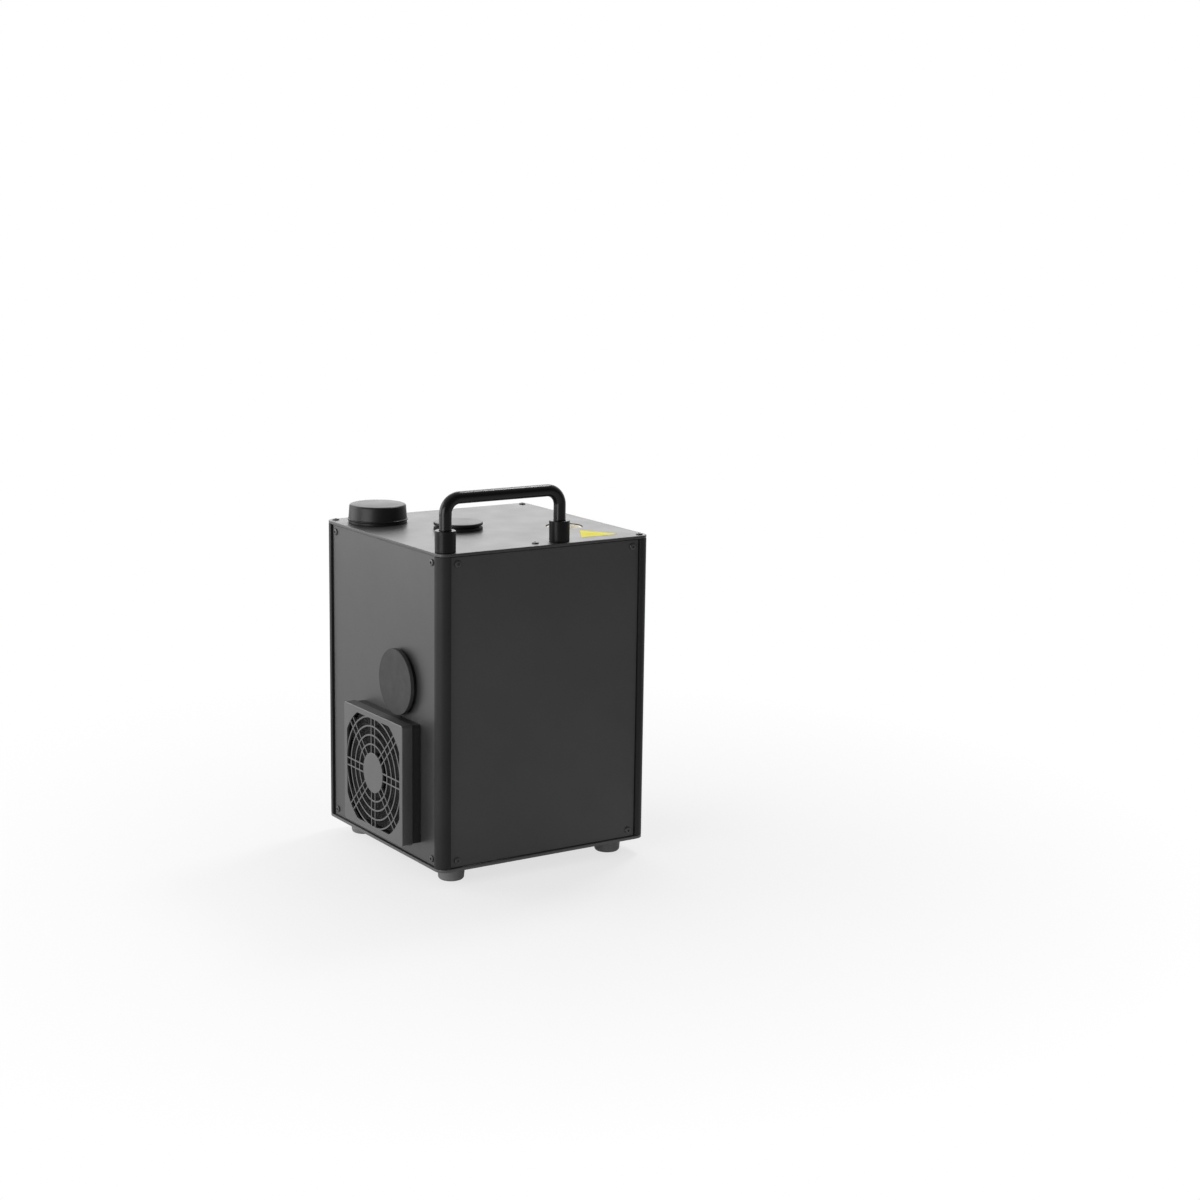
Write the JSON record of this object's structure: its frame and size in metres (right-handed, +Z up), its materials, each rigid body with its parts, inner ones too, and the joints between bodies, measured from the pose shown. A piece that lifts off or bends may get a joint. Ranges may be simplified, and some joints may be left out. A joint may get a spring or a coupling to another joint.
{
  "type": "cold spark machine",
  "caption": "Square black metal stage machine that throws a fountain of cold sparks from a nozzle in its top, with a carrying handle, filler cap and side fan filter guard.",
  "frame": {"origin": "on the floor, under the middle of the whole machine's box", "axes": "+Z up, -Y out of the plain front panel, -X out of the side with the fan filter guard"},
  "size_m": [0.259, 0.2432, 0.3875],
  "materials": {
    "housing_paint": "matt black powder coat",
    "handle_paint": "satin black powder coat",
    "sleeve_plastic": "satin",
    "cap_plastic": "satin",
    "plug_plastic": "matt",
    "guard_plastic": "fine moulded grain",
    "filter_foam": "open-cell foam",
    "fan_plastic": "matt",
    "foot_rubber": "matt",
    "liner_rubber": "smooth",
    "nozzle_ceramic": "unglazed",
    "insulation_wool": "fibre",
    "bare_steel": "plain",
    "bare_aluminium": "plain",
    "connector_plastic": "satin",
    "connector_metal": "black plated",
    "display_plastic": "gloss",
    "button_plastic": "matt",
    "board_laminate": "solder mask"
  },
  "bodies": {
    "root": {"post_front_left": "housing_paint", "post_front_right": "housing_paint", "post_rear_right": "housing_paint", "post_rear_left": "housing_paint", "base_plate": "housing_paint", "top_plate": "housing_paint", "front_panel": "housing_paint", "right_panel": "housing_paint", "left_panel": "housing_paint", "rear_panel": "housing_paint", "foot_front_left": "foot_rubber", "foot_front_right": "foot_rubber", "foot_rear_right": "foot_rubber", "foot_rear_left": "foot_rubber", "handle": "handle_paint", "handle_sleeve_left": "sleeve_plastic", "handle_sleeve_right": "sleeve_plastic", "handle_backplate": "bare_steel", "filler_neck": "cap_plastic", "hopper": "bare_steel", "hopper_funnel": "bare_steel", "feed_tube": "bare_steel", "feed_adapter": "bare_aluminium", "feed_motor": "bare_steel", "nozzle_liner": "nozzle_ceramic", "heating_chamber": "bare_steel", "heater_band": "bare_steel", "insulation_wrap": "insulation_wool", "heat_shield": "bare_aluminium", "blower_housing": "fan_plastic", "blower_motor": "bare_steel", "air_duct": "bare_aluminium", "guard_base": "guard_plastic", "guard_foam": "filter_foam", "fan_frame": "fan_plastic", "side_port_ring": "cap_plastic", "top_port_ring": "cap_plastic", "display_window": "display_plastic", "display_screen": "display_plastic", "control_board": "board_laminate", "power_module": "connector_plastic", "signal_input": "connector_metal", "signal_output": "connector_metal", "power_supply": "bare_aluminium"},
    "fan_rotor": {"fan_rotor": "fan_plastic"},
    "blower_impeller": {"blower_impeller": "fan_plastic"},
    "feed_screw": {"feed_auger": "bare_steel", "shaft_coupling": "bare_aluminium"},
    "cap_liner": {"cap_liner": "liner_rubber"},
    "filler_cap": {"filler_cap": "cap_plastic"},
    "top_plug": {"top_plug": "cap_plastic"},
    "side_plug": {"side_plug": "plug_plastic"},
    "guard_cover": {"guard_cover": "guard_plastic"},
    "button_1": {"button_1": "button_plastic"},
    "button_2": {"button_2": "button_plastic"},
    "button_3": {"button_3": "button_plastic"},
    "button_4": {"button_4": "button_plastic"},
    "power_rocker": {"power_rocker": "connector_plastic"},
    "fuse_drawer": {"fuse_drawer": "connector_plastic"},
    "output_latch": {"output_latch": "connector_metal"}
  },
  "joints": [
    {"name": "fan_spin", "type": "hinge", "parent": "root", "child": "fan_rotor", "pos_m": [-0.0947, -0.01905, 0.096], "axis": [-1, 0, 0], "continuous": true},
    {"name": "blower_spin", "type": "hinge", "parent": "root", "child": "blower_impeller", "pos_m": [0.05355, -0.03355, 0.0613], "axis": [0, -1, 0], "continuous": true},
    {"name": "feed_spin", "type": "hinge", "parent": "root", "child": "feed_screw", "pos_m": [-0.02045, 0.04145, 0.1879], "axis": [0.8111, -0.5849, 0], "continuous": true},
    {"name": "cap_lift", "type": "slide", "parent": "root", "child": "cap_liner", "axis": [0, 0, 1], "range_m": [0, 0.0151]},
    {"name": "cap_turn", "type": "hinge", "parent": "cap_liner", "child": "filler_cap", "pos_m": [-0.07045, 0.07945, 0.336], "axis": [0, 0, 1], "range_deg": [0, 900]},
    {"name": "top_plug_pull", "type": "slide", "parent": "root", "child": "top_plug", "axis": [0, 0, 1], "range_m": [0, 0.016]},
    {"name": "side_plug_pull", "type": "slide", "parent": "root", "child": "side_plug", "axis": [-1, 0, 0], "range_m": [0, 0.018]},
    {"name": "guard_cover_pull", "type": "slide", "parent": "root", "child": "guard_cover", "axis": [-1, 0, 0], "range_m": [0, 0.015]},
    {"name": "button_1_press", "type": "slide", "parent": "root", "child": "button_1", "axis": [0, -1, 0], "range_m": [0, 0.001], "stiffness_N_per_m": 200},
    {"name": "button_2_press", "type": "slide", "parent": "root", "child": "button_2", "axis": [0, -1, 0], "range_m": [0, 0.001], "stiffness_N_per_m": 200},
    {"name": "button_3_press", "type": "slide", "parent": "root", "child": "button_3", "axis": [0, -1, 0], "range_m": [0, 0.001], "stiffness_N_per_m": 200},
    {"name": "button_4_press", "type": "slide", "parent": "root", "child": "button_4", "axis": [0, -1, 0], "range_m": [0, 0.001], "stiffness_N_per_m": 200},
    {"name": "rocker_tip", "type": "hinge", "parent": "root", "child": "power_rocker", "pos_m": [-0.04045, 0.11575, 0.1153], "axis": [-1, 0, 0], "range_deg": [0, 20]},
    {"name": "drawer_pull", "type": "slide", "parent": "root", "child": "fuse_drawer", "axis": [0, 1, 0], "range_m": [0, 0.022]},
    {"name": "latch_press", "type": "slide", "parent": "root", "child": "output_latch", "axis": [0, -1, 0], "range_m": [0, 0.0015], "stiffness_N_per_m": 300}
  ],
  "couplings": [
    {"joint": "cap_lift", "follows": "cap_turn", "m_per_rad": 0.00095493}
  ]
}
